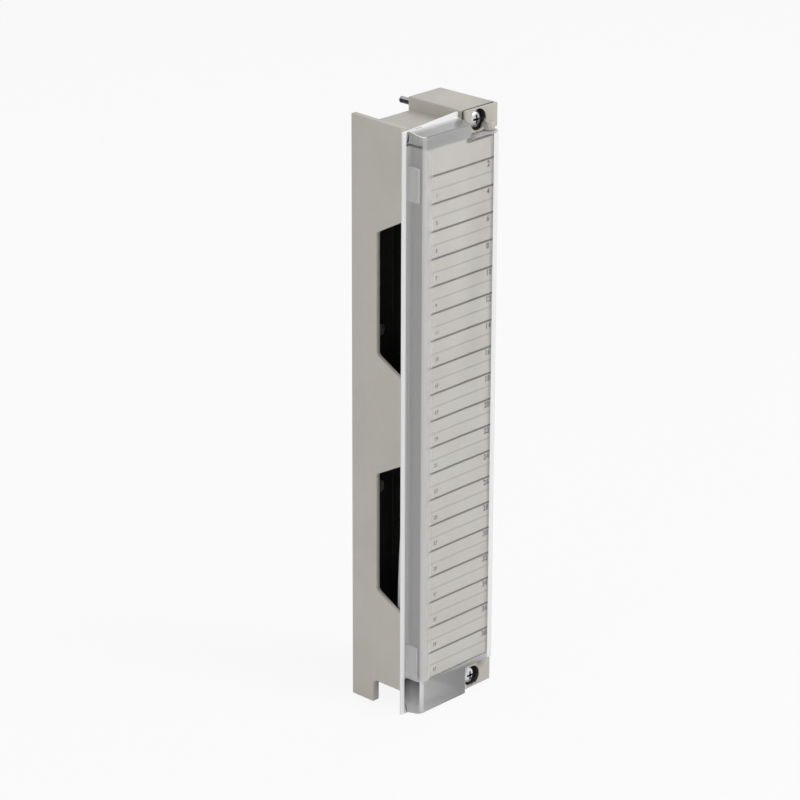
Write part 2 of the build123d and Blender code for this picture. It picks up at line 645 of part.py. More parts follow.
def parts():
    """Every piece by name."""
    top_ear = (BAY_TOP, HINGE_TOP + HINGE_PIN_LENGTH + HINGE_PIN_GAP + EAR_CLOSURE)
    bottom_ear = (HINGE_BOTTOM - HINGE_PIN_LENGTH - HINGE_PIN_GAP - EAR_CLOSURE, BAY_BOTTOM)
    left = (LEFT_COLUMN, LEFT_FLOOR)
    right = (RIGHT_COLUMN, RIGHT_FLOOR)
    return {
        "housing": housing(),
        "end_cap_top": end_cap(BAY_TOP, TOP, SCREW_Z, top_ear) - pin_bore(HINGE_TOP, 1),
        "end_cap_bottom": end_cap(-TOP, BAY_BOTTOM, -SCREW_Z, bottom_ear) - pin_bore(HINGE_BOTTOM, -1),
        "terminal_core": terminal_core(),
        "socket_carrier": socket_carrier(),
        "contact_plates_left": per_row(contact_plate, *left),
        "contact_plates_right": per_row(contact_plate, *right),
        "socket_springs_left": per_row(socket_spring, LEFT_COLUMN),
        "socket_springs_right": per_row(socket_spring, RIGHT_COLUMN),
        "wire_clamps_left": per_row(wire_clamp, *left),
        "wire_clamps_right": per_row(wire_clamp, *right),
        "terminal_screws_left": per_row(terminal_screw, *left),
        "terminal_screws_right": per_row(terminal_screw, *right),
        "core_fixing_screws": Compound([fixing_screw(place) for place in fixing_places()]),
        "mounting_screw_top": mounting_screw(SCREW_Z),
        "mounting_screw_bottom": mounting_screw(-SCREW_Z),
        "screw_retainer_top": screw_retainer(SCREW_Z),
        "screw_retainer_bottom": screw_retainer(-SCREW_Z),
        "door": door(),
        "label_card": label_card(),
    }


os.makedirs("parts", exist_ok=True)
for name, shape in parts().items():
    export_step(shape, f"parts/{name}.step")
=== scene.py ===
"""Looks of a plug-on terminal block with a clear hinged door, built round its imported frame.

The frame holds the mouldings, the contacts and the screws at their real size. This script gives
each of them its finish, softens the edges of the mouldings, and makes the printed label, the
screw heads and the threads. All lengths are in metres.
"""

import json
import logging
import math
from collections.abc import Callable
from dataclasses import dataclass
from enum import Enum

import bmesh
import bpy
from mathutils import Matrix, Vector
from mathutils.bvhtree import BVHTree

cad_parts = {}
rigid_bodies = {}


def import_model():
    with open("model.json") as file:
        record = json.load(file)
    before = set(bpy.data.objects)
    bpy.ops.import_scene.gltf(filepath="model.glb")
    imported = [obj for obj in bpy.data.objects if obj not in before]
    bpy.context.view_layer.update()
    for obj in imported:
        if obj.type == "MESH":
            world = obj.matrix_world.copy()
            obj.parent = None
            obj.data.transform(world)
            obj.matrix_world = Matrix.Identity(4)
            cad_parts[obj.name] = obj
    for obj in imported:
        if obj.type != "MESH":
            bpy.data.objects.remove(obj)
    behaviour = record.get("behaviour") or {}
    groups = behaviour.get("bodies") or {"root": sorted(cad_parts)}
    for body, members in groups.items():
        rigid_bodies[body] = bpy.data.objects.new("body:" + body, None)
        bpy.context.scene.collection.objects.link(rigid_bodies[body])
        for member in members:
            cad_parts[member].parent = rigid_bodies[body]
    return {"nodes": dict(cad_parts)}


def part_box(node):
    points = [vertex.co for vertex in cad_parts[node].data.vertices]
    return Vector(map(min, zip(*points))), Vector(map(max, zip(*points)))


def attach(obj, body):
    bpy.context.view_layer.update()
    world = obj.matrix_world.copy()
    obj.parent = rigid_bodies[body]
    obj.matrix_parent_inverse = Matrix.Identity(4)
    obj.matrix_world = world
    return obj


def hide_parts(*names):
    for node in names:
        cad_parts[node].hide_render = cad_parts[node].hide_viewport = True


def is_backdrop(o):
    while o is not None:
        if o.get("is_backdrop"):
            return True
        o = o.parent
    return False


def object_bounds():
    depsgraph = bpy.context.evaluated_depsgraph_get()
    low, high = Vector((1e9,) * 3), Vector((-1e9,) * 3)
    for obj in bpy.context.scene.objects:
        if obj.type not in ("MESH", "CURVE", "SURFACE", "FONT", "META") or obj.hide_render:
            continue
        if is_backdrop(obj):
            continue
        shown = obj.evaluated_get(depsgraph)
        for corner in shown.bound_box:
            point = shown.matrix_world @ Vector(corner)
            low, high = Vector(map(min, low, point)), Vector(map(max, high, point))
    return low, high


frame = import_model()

MM = 0.001
LOG = logging.getLogger("terminal_block")

Colour = tuple[float, float, float]
Point = tuple[float, float, float]
Outline = list[tuple[float, float]]
Face = bpy.types.MeshPolygon
Form = bmesh.types.BMesh
Material = bpy.types.Material
Mesh = bpy.types.Mesh
Node = bpy.types.Node
Object = bpy.types.Object
Socket = bpy.types.NodeSocket


class Body(Enum):
    """The bodies that pieces ride on."""

    BLOCK = "block"
    COVER = "cover"
    UPPER_SCREW = "upper_screw"
    LOWER_SCREW = "lower_screw"


class Slot(Enum):
    """The material slots of the pieces made here."""

    HOUSING = "housing_plastic"
    CORE = "core_plastic"
    SCREW = "screw_metal"
    DOOR = "door_clear"
    CARD = "card_paper"


class Mark(Enum):
    """Values that corners of a mesh carry for their material."""

    HAZE = "haze"
    # Painted light: the grey of clear plastic, which holds painted highlights and painted shade.
    TONE = "tone"
    # Painted shade: the share of a dark colour painted into hollows and under the screw's point.
    RECESS = "recess"


def linear(colour: Colour) -> tuple[float, float, float, float]:
    """Turn a swatch colour into the renderer's linear values.

    Args:
        colour: Red, green and blue from 0 to 255, as on a screen.

    Returns:
        Linear red, green and blue, and full alpha.
    """
    knee, slope, offset, whole, power = 0.04045, 12.92, 0.055, 1.055, 2.4
    shares = [channel / 255 for channel in colour]
    values = [s / slope if s <= knee else ((s + offset) / whole) ** power for s in shares]
    return *values, 1.0


def shade(colour: Colour, share: float) -> Colour:
    """Darken or lighten a swatch by a share."""
    return tuple(min(255.0, channel * share) for channel in colour)


def set_inputs(node: Node, values: dict[str, object]) -> None:
    """Set inputs of a node by name, with the spaces of a name as underscores."""
    for name, value in values.items():
        node.inputs[name.replace("_", " ")].default_value = value


class Nodes:
    """The nodes and links of one tree."""

    def __init__(self, tree: bpy.types.NodeTree) -> None:
        """Take hold of a tree."""
        self.tree = tree

    def node(self, kind: str, **values: object) -> Node:
        """Add a node of a kind.

        Args:
            kind: The node's type.
            **values: Values of its inputs.

        Returns:
            The new node.
        """
        made = self.tree.nodes.new(kind)
        set_inputs(made, values)
        return made

    def link(self, source: Socket, target: Socket) -> None:
        """Join two sockets."""
        self.tree.links.new(source, target)


class Shader(Nodes):
    """A material and its node tree, built one node at a time."""

    noise_low, noise_high = 0.3, 0.7

    def __init__(self, name: str) -> None:
        """Make an empty material with a Principled shader.

        Args:
            name: The material's name.
        """
        self.material = bpy.data.materials.new(name)
        self.material.use_nodes = True
        super().__init__(self.material.node_tree)
        self.tree.nodes.clear()
        self.output = self.node("ShaderNodeOutputMaterial")
        self.surface = self.node("ShaderNodeBsdfPrincipled")
        self.link(self.surface.outputs["BSDF"], self.output.inputs["Surface"])
        self.place = self.node("ShaderNodeTexCoord").outputs["Object"]

    def set(self, **values: float) -> None:
        """Set plain values of the surface."""
        set_inputs(self.surface, values)

    def stretched(self, scale: Point) -> Socket:
        """Give object coordinates stretched along each axis.

        Args:
            scale: The factor along x, y and z.

        Returns:
            The socket of the stretched coordinates.
        """
        mapping = self.node("ShaderNodeMapping", Scale=scale)
        self.link(self.place, mapping.inputs["Vector"])
        return mapping.outputs["Vector"]

    def noise(self, scale: float, detail: float = 3.0, where: Socket | None = None) -> Socket:
        """Add a noise pattern on object coordinates.

        Args:
            scale: Features per metre.
            detail: Octaves of finer noise.
            where: Other coordinates to read, or None.

        Returns:
            The socket of the noise, from 0 to 1.
        """
        noise = self.node("ShaderNodeTexNoise", Scale=scale, Detail=detail)
        self.link(where or self.place, noise.inputs["Vector"])
        return noise.outputs["Fac"]

    def spread(self, value: Socket, low: float = 0.0, high: float = 1.0) -> Socket:
        """Stretch the middle of a noise over a range.

        Args:
            value: A socket whose values lie round a half.
            low: The result at the noise's low end.
            high: The result at its high end.

        Returns:
            The socket of the result.
        """
        ends = {"From_Min": self.noise_low, "From_Max": self.noise_high, "To_Min": low, "To_Max": high}
        ramp = self.node("ShaderNodeMapRange", **ends)
        self.link(value, ramp.inputs["Value"])
        return ramp.outputs["Result"]

    def mark(self, kind: Mark) -> Socket:
        """Read a value that the mesh carries.

        Args:
            kind: Which value.

        Returns:
            The socket of the value, which is 0 where the mesh has none.
        """
        reader = self.node("ShaderNodeAttribute")
        reader.attribute_name = kind.value
        return reader.outputs["Fac"]

    def mixed(self, share: Socket, first: Colour | Socket, second: Colour) -> Socket:
        """Mix a swatch into a swatch or a colour by a pattern.

        Args:
            share: The pattern, from 0 to 1.
            first: The swatch or colour where the pattern is low.
            second: The swatch where it is high.

        Returns:
            The socket of the mixed colour.
        """
        mix = self.node("ShaderNodeMix")
        mix.data_type = "RGBA"
        low, high = [socket for socket in mix.inputs if socket.type == "RGBA"]
        if isinstance(first, Socket):
            self.link(first, low)
        else:
            low.default_value = linear(first)
        high.default_value = linear(second)
        self.link(share, mix.inputs["Factor"])
        return next(socket for socket in mix.outputs if socket.type == "RGBA")

    def paint(self, colour: Socket) -> None:
        """Colour the surface."""
        self.link(colour, self.surface.inputs["Base Color"])

    def roughen(self, pattern: Socket, smooth: float, rough: float) -> None:
        """Vary the surface's roughness by a pattern between two values."""
        self.link(self.spread(pattern, smooth, rough), self.surface.inputs["Roughness"])

    def relief(self, height: Socket, depth: float, strength: float) -> None:
        """Raise the surface by a pattern, on top of any relief that is there.

        Args:
            height: The pattern, from 0 to 1.
            depth: How high the pattern stands.
            strength: The share of the relief that shows.
        """
        bump = self.node("ShaderNodeBump", Distance=depth, Strength=strength)
        self.link(height, bump.inputs["Height"])
        normal = self.surface.inputs["Normal"]
        if normal.is_linked:
            self.link(normal.links[0].from_socket, bump.inputs["Normal"])
        self.link(bump.outputs["Normal"], normal)

    def overlay(self, share: Socket, other: Socket) -> None:
        """Show another shader in place of the surface.

        Args:
            share: Where the other shader shows, from 0 to 1.
            other: The other shader.
        """
        mix = self.node("ShaderNodeMixShader")
        self.link(share, mix.inputs["Fac"])
        self.link(self.surface.outputs["BSDF"], mix.inputs[1])
        self.link(other, mix.inputs[2])
        self.link(mix.outputs["Shader"], self.output.inputs["Surface"])


@dataclass(frozen=True)
class Finish:
    """A finish that builds its own material."""

    name: str

    def material(self) -> Material:
        """Build the material.

        Returns:
            The finished material.
        """
        shader = Shader(self.name)
        self.wire(shader)
        return shader.material

    def wire(self, shader: Shader) -> None:
        """Wire the pattern of the finish into its shader."""
        raise NotImplementedError


@dataclass(frozen=True)
class MouldedPlastic(Finish):
    """Opaque moulded plastic with a fine eroded grain."""

    colour: Colour
    # Colour of painted shade in the screw wells and the caps' grooves.
    recess: Colour = (38, 34, 30)
    cloud: float = 0.965
    clouds: float = 55.0
    smooth: float = 0.44
    rough: float = 0.60
    patches: float = 420.0
    grain: float = 2400.0
    grain_depth: float = 0.035 * MM
    grain_share: float = 0.55
    specks: float = 9000.0
    speck_depth: float = 0.035 * MM / 3
    speck_share: float = 0.4

    def wire(self, shader: Shader) -> None:
        """Wire clouds, painted shade in recesses, grain and specks.

        Args:
            shader: The material being built.
        """
        clouds = shader.spread(shader.noise(self.clouds))
        face = shader.mixed(clouds, shade(self.colour, self.cloud), self.colour)
        # Painted shade: where the mesh marks it, the colour turns to the recess colour.
        shader.paint(shader.mixed(shader.mark(Mark.RECESS), face, self.recess))
        shader.roughen(shader.noise(self.patches, detail=4.0), self.smooth, self.rough)
        shader.relief(shader.noise(self.grain, detail=4.0), self.grain_depth, self.grain_share)
        shader.relief(shader.noise(self.specks, detail=2.0), self.speck_depth, self.speck_share)
        shader.set(IOR=1.5)


@dataclass(frozen=True)
class PlatedMetal(Finish):
    """Plated metal with fine drawing lines and dull patches."""

    colour: Colour
    # Colour of painted shade in the cross recess and under the screw's point.
    recess: Colour = (26, 26, 28)
    dull: float = 0.86
    dull_patches: float = 700.0
    smooth: float = 0.18
    rough: float = 0.38
    patches: float = 1500.0
    lines: Point = (1.0, 30.0, 1.0)
    line_scale: float = 900.0
    line_depth: float = 0.008 * MM
    line_share: float = 0.5

    def wire(self, shader: Shader) -> None:
        """Wire dull patches, painted shade in recesses and drawing lines.

        Args:
            shader: The material being built.
        """
        patches = shader.spread(shader.noise(self.dull_patches))
        face = shader.mixed(patches, shade(self.colour, self.dull), self.colour)
        # Painted shade: where the mesh marks it, the colour turns to the recess colour.
        shader.paint(shader.mixed(shader.mark(Mark.RECESS), face, self.recess))
        shader.roughen(shader.noise(self.patches, detail=4.0), self.smooth, self.rough)
        drawn = shader.noise(self.line_scale, where=shader.stretched(self.lines))
        shader.relief(drawn, self.line_depth, self.line_share)
        shader.set(Metallic=1.0)


@dataclass(frozen=True)
class ClearPlastic(Finish):
    """Clear plastic whose haze and painted grey follow the zones of its moulding.

    Each corner of the piece says how hazy it is and carries a grey with painted light in it:
    a flange or a rounded corner is painted white as a highlight, and shaded walls are painted smoky grey.
    """

    # The ends of the painted grey, which holds painted highlights and painted shade.
    dark: Colour = (0, 0, 0)
    bright: Colour = (251, 251, 251)
    smooth: float = 0.05
    rough: float = 0.14
    index: float = 1.49
    scuffs: float = 900.0
    scuff_lines: Point = (1.0, 1.0, 0.2)
    scuff_depth: float = 0.003 * MM
    scuff_share: float = 0.15
    waves: float = 90.0
    wave_depth: float = 0.05 * MM
    wave_share: float = 0.35
    lamp_share: float = 0.90

    def wire(self, shader: Shader) -> None:
        """Wire the haze, the painted grey, scuffs and waves, and let lamps through to the card behind.

        Args:
            shader: The material being built.
        """
        # Painted light: the base colour is the painted grey of highlights and shade that each corner carries.
        shader.paint(shader.mixed(shader.mark(Mark.TONE), self.dark, self.bright))
        clear = shader.node("ShaderNodeMapRange", To_Min=1.0, To_Max=0.0)
        shader.link(shader.mark(Mark.HAZE), clear.inputs["Value"])
        shader.link(clear.outputs["Result"], shader.surface.inputs["Transmission Weight"])
        scuffs = shader.noise(self.scuffs, detail=5.0, where=shader.stretched(self.scuff_lines))
        shader.roughen(scuffs, self.smooth, self.rough)
        shader.relief(shader.noise(self.waves, detail=1.0), self.wave_depth, self.wave_share)
        shader.relief(scuffs, self.scuff_depth, self.scuff_share)
        shader.set(IOR=self.index)
        path = shader.node("ShaderNodeLightPath")
        film = shader.node("ShaderNodeBsdfTransparent", Color=(*(self.lamp_share,) * 3, 1))
        shader.overlay(path.outputs["Is Shadow Ray"], film.outputs["BSDF"])


@dataclass(frozen=True)
class PaperCard(Finish):
    """Uncoated card with a soft fibre grain and uneven yellowing."""

    colour: Colour
    aged: Colour
    yellowing: float = 70.0
    smooth: float = 0.72
    rough: float = 0.9
    patches: float = 500.0
    fibres: float = 3200.0
    fibre_lines: Point = (1.0, 1.0, 0.35)
    fibre_depth: float = 0.012 * MM
    fibre_share: float = 0.5

    def wire(self, shader: Shader) -> None:
        """Wire the yellowing and the fibres.

        Args:
            shader: The material being built.
        """
        fibres = shader.noise(self.fibres, detail=5.0, where=shader.stretched(self.fibre_lines))
        shader.paint(shader.mixed(shader.spread(shader.noise(self.yellowing)), self.colour, self.aged))
        shader.roughen(shader.noise(self.patches), self.smooth, self.rough)
        shader.relief(fibres, self.fibre_depth, self.fibre_share)


@dataclass(frozen=True)
class PrintedInk(Finish):
    """Thin matt ink with uneven cover."""

    colour: Colour
    pale: float = 1.06
    smooth: float = 0.5
    rough: float = 0.75
    cover: float = 2600.0
    cover_depth: float = 0.003 * MM
    cover_share: float = 0.4

    def wire(self, shader: Shader) -> None:
        """Wire the uneven cover.

        Args:
            shader: The material being built.
        """
        cover = shader.noise(self.cover)
        shader.paint(shader.mixed(shader.spread(cover), self.colour, shade(self.colour, self.pale)))
        shader.roughen(cover, self.smooth, self.rough)
        shader.relief(cover, self.cover_depth, self.cover_share)


@dataclass(frozen=True)
class Finishes:
    """Every finish of the block."""

    housing: Finish = MouldedPlastic("grey beige moulding", (200, 196, 187))
    core: Finish = MouldedPlastic("black terminal moulding", (34, 33, 32), smooth=0.4, rough=0.55)
    carrier: Finish = MouldedPlastic("black socket moulding", (42, 41, 40), smooth=0.45, rough=0.6)
    retainer: Finish = MouldedPlastic("natural nylon", (214, 210, 198), smooth=0.35, rough=0.5)
    contact: Finish = PlatedMetal("tinned brass", (206, 196, 172), smooth=0.25, rough=0.42)
    spring: Finish = PlatedMetal("spring bronze", (198, 156, 104), smooth=0.22, rough=0.4)
    clamp: Finish = PlatedMetal("zinc plated clamp", (186, 187, 184), smooth=0.28, rough=0.46)
    screw: Finish = PlatedMetal("bright zinc", (214, 217, 220), smooth=0.12, rough=0.3)
    door: Finish = ClearPlastic("clear moulded cover")
    card: Finish = PaperCard("label card", (195, 193, 187), (190, 184, 176))
    line: Finish = PrintedInk("row line ink", (66, 58, 50))
    guide: Finish = PrintedInk("pale guide ink", (164, 160, 152))
    number: Finish = PrintedInk("number ink", (58, 56, 54))


def new_object(name: str, data: bpy.types.ID) -> Object:
    """Make an object in the scene.

    Args:
        name: The object's name.
        data: Its mesh, text, lamp or camera.

    Returns:
        The object, at the origin.
    """
    made = bpy.data.objects.new(name, data)
    bpy.context.scene.collection.objects.link(made)
    return made


def coat(mesh: Mesh, finish: Material) -> None:
    """Give a mesh one material."""
    mesh.materials.clear()
    mesh.materials.append(finish)


def evaluated_mesh(source: Object) -> Mesh:
    """Bake an object's modifiers into a plain mesh.

    Args:
        source: The object with its modifiers.

    Returns:
        The baked mesh, named as the object.
    """
    bpy.context.view_layer.update()
    graph = bpy.context.evaluated_depsgraph_get()
    evaluated = source.evaluated_get(graph)
    mesh = bpy.data.meshes.new_from_object(evaluated, preserve_all_data_layers=True, depsgraph=graph)
    mesh.name = source.name
    return mesh


def settle(source: Object) -> None:
    """Replace an object's live modifiers by their result.

    Args:
        source: The object with its modifiers.
    """
    mesh = evaluated_mesh(source)
    source.modifiers.clear()
    source.data = mesh


def modify(piece: Object, kind: str, **settings: object) -> None:
    """Change a piece by a modifier and bake it.

    Args:
        piece: The piece.
        kind: The modifier's type.
        **settings: Its settings.
    """
    modifier = piece.modifiers.new(kind, kind)
    for name, value in settings.items():
        setattr(modifier, name, value)
    settle(piece)


def dress(piece: Object, body: Body, slot: Slot, *nodes: str) -> None:
    """Make a piece ride on its body and hide the nodes that it stands for.

    Args:
        piece: The finished piece.
        body: The body that it moves with.
        slot: The slot of its finish; not used.
        *nodes: Frame nodes that it replaces.
    """
    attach(piece, body.value)
    if nodes:
        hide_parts(*nodes)
    LOG.info("%s: %d faces on %s", piece.name, len(piece.data.polygons), body.value)


def paint(node: str, finish: Material) -> None:
    """Give its finish to a node of the frame whose shape stays as it is."""
    coat(frame["nodes"][node].data, finish)
    LOG.info("%s: finish %s", node, finish.name)


def note(mesh: Mesh, kind: Mark, values: list[float]) -> None:
    """Write one value for each face corner of a mesh."""
    mesh.attributes.new(kind.value, "FLOAT", "CORNER").data.foreach_set("value", values)


def note_recesses(mesh: Mesh, darkness: Callable[[Face], float]) -> None:
    """Write how much painted shade each face of a mesh has to its corners.

    Args:
        mesh: The mesh.
        darkness: Gives a face's share of the painted shade colour.
    """
    values = []
    for face in mesh.polygons:
        values += [darkness(face)] * len(face.vertices)
    note(mesh, Mark.RECESS, values)


class PieceTree(Nodes):
    """A geometry node tree that shapes a piece from named inputs."""

    kinds: dict[str, str]

    def __init__(self, name: str) -> None:
        """Build the tree: its own shape, then real copies, then the finish.

        Args:
            name: The tree's name.
        """
        super().__init__(bpy.data.node_groups.new(name, "GeometryNodeTree"))
        self.ids = {title: self.socket(title, kind, "INPUT") for title, kind in self.kinds.items()}
        self.socket("Geometry", "Geometry", "OUTPUT")
        self.given = self.node("NodeGroupInput")
        made = self.wired()
        real = self.node("GeometryNodeRealizeInstances")
        painted = self.node("GeometryNodeSetMaterial")
        result = self.node("NodeGroupOutput")
        self.link(made, real.inputs["Geometry"])
        self.link(real.outputs["Geometry"], painted.inputs["Geometry"])
        self.feed(painted, Finish="Material")
        self.link(painted.outputs["Geometry"], result.inputs["Geometry"])

    def socket(self, name: str, kind: str, side: str) -> str:
        """Add a named socket to the tree's interface and give its identifier."""
        return self.tree.interface.new_socket(name, in_out=side, socket_type=f"NodeSocket{kind}").identifier

    def feed(self, node: Node, **entries: str) -> None:
        """Join inputs of the tree, by name, to inputs of a node."""
        for name, entry in entries.items():
            self.link(self.given.outputs[name], node.inputs[entry])

    def wired(self) -> Socket:
        """Wire the tree's own shape and give its socket."""
        raise NotImplementedError

    def run(self, piece: Object, finish: Material, **values: float | Point) -> None:
        """Shape a piece and bake the result.

        Args:
            piece: The object that is shaped.
            finish: The material of the result.
            **values: The tree's other inputs.
        """
        modifier = piece.modifiers.new("tree", "NODES")
        modifier.node_group = self.tree
        for name, value in {**values, "Finish": finish}.items():
            modifier[self.ids[name]] = value
        settle(piece)
        coat(piece.data, finish)


class RepeatTree(PieceTree):
    """Repeats a piece, made about the origin, at even steps along a line."""

    kinds = {
        "Geometry": "Geometry",
        "Count": "Int",
        "Start": "Vector",
        "Step": "Vector",
        "Finish": "Material",
    }

    def wired(self) -> Socket:
        """Wire the line and its copies.

        Returns:
            The copies.
        """
        line = self.node("GeometryNodeMeshLine")
        line.mode = "OFFSET"
        copies = self.node("GeometryNodeInstanceOnPoints")
        self.feed(line, Count="Count", Start="Start Location", Step="Offset")
        self.feed(copies, Geometry="Instance")
        self.link(line.outputs["Mesh"], copies.inputs["Points"])
        return copies.outputs["Instances"]


class ThreadTree(PieceTree):
    """Winds a screw thread about the y axis."""

    kinds = {
        "Radius": "Float",
        "Turns": "Float",
        "Length": "Float",
        "Start": "Vector",
        "Ridge": "Float",
        "Finish": "Material",
    }
    turn_steps, ridge_sides = 20, 4

    def wired(self) -> Socket:
        """Wire the spiral and the ridge along it.

        Returns:
            The thread.
        """
        spiral = self.node("GeometryNodeCurveSpiral", Resolution=self.turn_steps)
        ridge = self.node("GeometryNodeCurvePrimitiveCircle", Resolution=self.ridge_sides)
        tube = self.node("GeometryNodeCurveToMesh", Fill_Caps=True)
        turned = self.node("GeometryNodeTransform", Rotation=(-math.pi / 2, 0, 0))
        self.feed(spiral, Radius="Start Radius", Turns="Rotations", Length="Height")
        self.feed(spiral, Radius="End Radius")
        self.feed(ridge, Ridge="Radius")
        self.feed(turned, Start="Translation")
        self.link(spiral.outputs["Curve"], tube.inputs["Curve"])
        self.link(ridge.outputs["Curve"], tube.inputs["Profile Curve"])
        self.link(tube.outputs["Mesh"], turned.inputs["Geometry"])
        return turned.outputs["Geometry"]


@dataclass
class SoftMoulding:
    """A moulding of the frame with its sharp edges softened."""

    node: str
    body: Body
    slot: Slot
    finish: Material
    edge: float = 0.22 * MM
    steps: int = 2
    cuts: tuple[tuple[int, float], ...] = ()
    covered: float | None = None
    weld: float = 0.002 * MM
    flat: float = math.radians(0.8)
    sharp: float = math.radians(38)
    pointed: float = math.radians(25)

    def build(self) -> Mesh:
        """Copy the node's shape, join its loose triangles and round its edges.

        Returns:
            The mesh of the piece that stands for the node.
        """
        mesh = frame["nodes"][self.node].data.copy()
        self.join_faces(mesh)
        corners = [vertex.co.copy() for vertex in mesh.vertices]
        surface = BVHTree.FromPolygons(corners, [list(face.vertices) for face in mesh.polygons])
        piece = new_object(f"{self.node}_moulding", mesh)
        mesh.shade_smooth()
        rounding = {"width": self.edge, "segments": self.steps, "harden_normals": True}
        modify(piece, "BEVEL", limit_method="WEIGHT", use_clamp_overlap=False, **rounding)
        coat(piece.data, self.finish)
        self.tame(piece.data, surface)
        dress(piece, self.body, self.slot, self.node)
        return piece.data

    def tame(self, mesh: Mesh, surface: BVHTree) -> None:
        """Bring back corners that the rounding threw off the moulding's surface or out of its box.

        Args:
            mesh: The rounded mesh.
            surface: The moulding before rounding.
        """
        reach = self.edge / 2
        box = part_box(self.node)
        for vertex in mesh.vertices:
            near, _, _, distance = surface.find_nearest(vertex.co)
            place = near if distance > reach else vertex.co
            vertex.co = [min(max(at, low), high) for at, low, high in zip(place, *box)]

    def join_faces(self, mesh: Mesh) -> None:
        """Merge doubled corners and the flat faces between them, and weigh the edges.

        Args:
            mesh: The mesh to join up.
        """
        work = bmesh.new()
        work.from_mesh(mesh)
        bmesh.ops.remove_doubles(work, verts=work.verts, dist=self.weld)
        bmesh.ops.dissolve_limit(work, angle_limit=self.flat, verts=work.verts, edges=work.edges)
        for axis, place in self.cuts:
            way = Vector([float(index == axis) for index in range(3)])
            everything = work.verts[:] + work.edges[:] + work.faces[:]
            bmesh.ops.bisect_plane(work, geom=everything, plane_co=way * place, plane_no=way)
        self.weigh(work)
        work.to_mesh(mesh)
        work.free()

    def weigh(self, work: Form) -> None:
        """Choose the edges to round: the sharp ones, but for pointed corners and covered faces.

        Args:
            work: The joined form.
        """
        weight = work.edges.layers.float.new("bevel_weight_edge")
        sharp = {edge for edge in work.edges if edge.calc_face_angle(0.0) > self.sharp}
        plain = set()
        for face in work.faces:
            for corner in face.loops:
                sides = {corner.edge, corner.link_loop_prev.edge}
                if sides <= sharp and corner.calc_angle() < self.pointed:
                    plain |= sides
        if self.covered is not None:
            plain |= {e for e in sharp if all(abs(v.co.y - self.covered) < self.weld for v in e.verts)}
        for edge in sharp:
            edge[weight] = float(edge not in plain)
            edge.smooth = edge not in plain


@dataclass(frozen=True)
class Haze:
    """How much haze a zone of clear plastic has, and its grey as on a screen, into which highlights and shade
    are painted.
    """

    share: float
    # grey: painted light, a grey in which the zone's highlights and shade are painted.
    grey: float

    def towards(self, last: "Haze", way: float) -> "Haze":
        """Blend into another zone by a share that is held between 0 and 1."""
        held = min(1.0, max(0.0, way))
        return Haze(self.share + (last.share - self.share) * held, self.grey + (last.grey - self.grey) * held)


